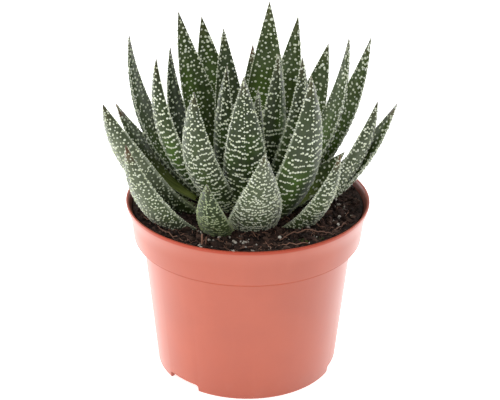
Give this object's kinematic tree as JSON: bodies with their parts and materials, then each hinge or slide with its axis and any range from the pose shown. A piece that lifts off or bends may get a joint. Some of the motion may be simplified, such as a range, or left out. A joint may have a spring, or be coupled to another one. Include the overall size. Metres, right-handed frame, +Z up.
{
  "type": "potted gasteria",
  "caption": "Spotted succulent rosette of thick pointed toothed leaves in a round plastic nursery pot filled with soil.",
  "frame": {"origin": "on the pot's axis, on the plane its feet stand on", "axes": "+Z up the pot's axis, -Y to the front of the plant, +X to its right"},
  "size_m": [0.1408, 0.12, 0.182],
  "materials": {
    "terracotta_plastic": "moulded terracotta-coloured plastic, satin, with a more saturated lip",
    "potting_soil": "near-black peat with pale perlite grains and brown root fibres",
    "pale_stem": "short pale green stem, hidden between the leaf roots",
    "spotted_leaf": "dark green fleshy skin with raised cream tubercles and a pale toothed edge"
  },
  "bodies": {
    "root": {"pot": "terracotta_plastic", "soil": "potting_soil", "stem": "pale_stem", "leaf_core_1": "spotted_leaf", "leaf_core_2": "spotted_leaf", "leaf_core_3": "spotted_leaf", "leaf_core_4": "spotted_leaf", "leaf_inner_1": "spotted_leaf", "leaf_inner_2": "spotted_leaf", "leaf_inner_3": "spotted_leaf", "leaf_inner_4": "spotted_leaf", "leaf_inner_5": "spotted_leaf", "leaf_inner_6": "spotted_leaf", "leaf_middle_1": "spotted_leaf", "leaf_middle_2": "spotted_leaf", "leaf_middle_3": "spotted_leaf", "leaf_middle_4": "spotted_leaf", "leaf_middle_5": "spotted_leaf", "leaf_middle_6": "spotted_leaf", "leaf_middle_7": "spotted_leaf", "leaf_middle_8": "spotted_leaf", "leaf_middle_9": "spotted_leaf", "leaf_outer_1": "spotted_leaf", "leaf_outer_2": "spotted_leaf", "leaf_outer_3": "spotted_leaf", "leaf_outer_4": "spotted_leaf", "leaf_outer_5": "spotted_leaf", "leaf_outer_6": "spotted_leaf", "leaf_outer_7": "spotted_leaf", "leaf_outer_8": "spotted_leaf", "leaf_outer_9": "spotted_leaf", "leaf_back_1": "spotted_leaf", "leaf_back_2": "spotted_leaf", "leaf_back_3": "spotted_leaf", "leaf_back_4": "spotted_leaf", "leaf_back_5": "spotted_leaf"}
  },
  "joints": []
}
